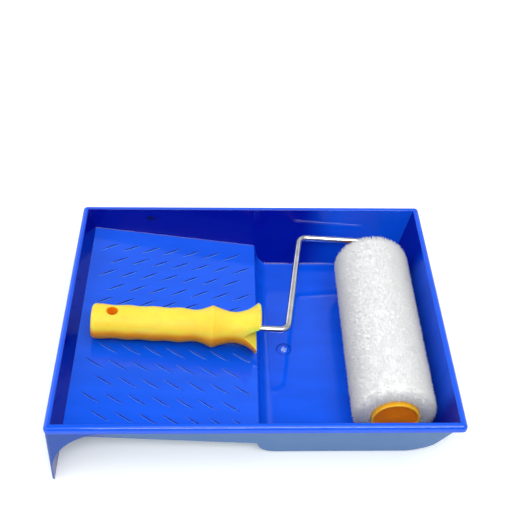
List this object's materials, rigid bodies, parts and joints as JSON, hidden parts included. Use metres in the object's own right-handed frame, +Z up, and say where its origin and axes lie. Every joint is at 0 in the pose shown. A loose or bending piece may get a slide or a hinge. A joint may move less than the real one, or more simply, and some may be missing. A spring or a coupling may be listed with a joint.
{
  "type": "paint roller tray",
  "caption": "Blue plastic paint tray with a ribbed ramp and a deep well, holding a hand roller with a yellow grip, bent wire frame and white pile sleeve.",
  "frame": {"origin": "middle of the footprint, on the ground the tray stands on", "axes": "+X from the ramp end to the well end, +Y from the front to the back, +Z up"},
  "size_m": [0.32, 0.2652, 0.0702],
  "materials": {
    "tray_blue": "glossy moulded plastic",
    "grip_yellow": "glossy moulded plastic",
    "cap_orange": "glossy moulded plastic",
    "chromed_steel": "bright plated rod",
    "spring_steel": "plain",
    "core_plastic": "matt extruded tube",
    "white_pile": "short dense pile"
  },
  "bodies": {
    "tray": {"tray": "tray_blue"},
    "roller_frame": {"grip": "grip_yellow", "wire_frame": "chromed_steel"},
    "sleeve": {"core_tube": "core_plastic", "plush_cover": "white_pile", "near_cap": "cap_orange", "far_cap": "cap_orange", "push_nut": "spring_steel"}
  },
  "joints": [
    {"name": "lift", "type": "slide", "parent": "tray", "child": "roller_frame", "axis": [0, 0, 1], "range_m": [0, 0.15]},
    {"name": "sleeve_spin", "type": "hinge", "parent": "roller_frame", "child": "sleeve", "pos_m": [0.11005, 0, 0.0373], "axis": [0, 1, 0], "continuous": true}
  ]
}
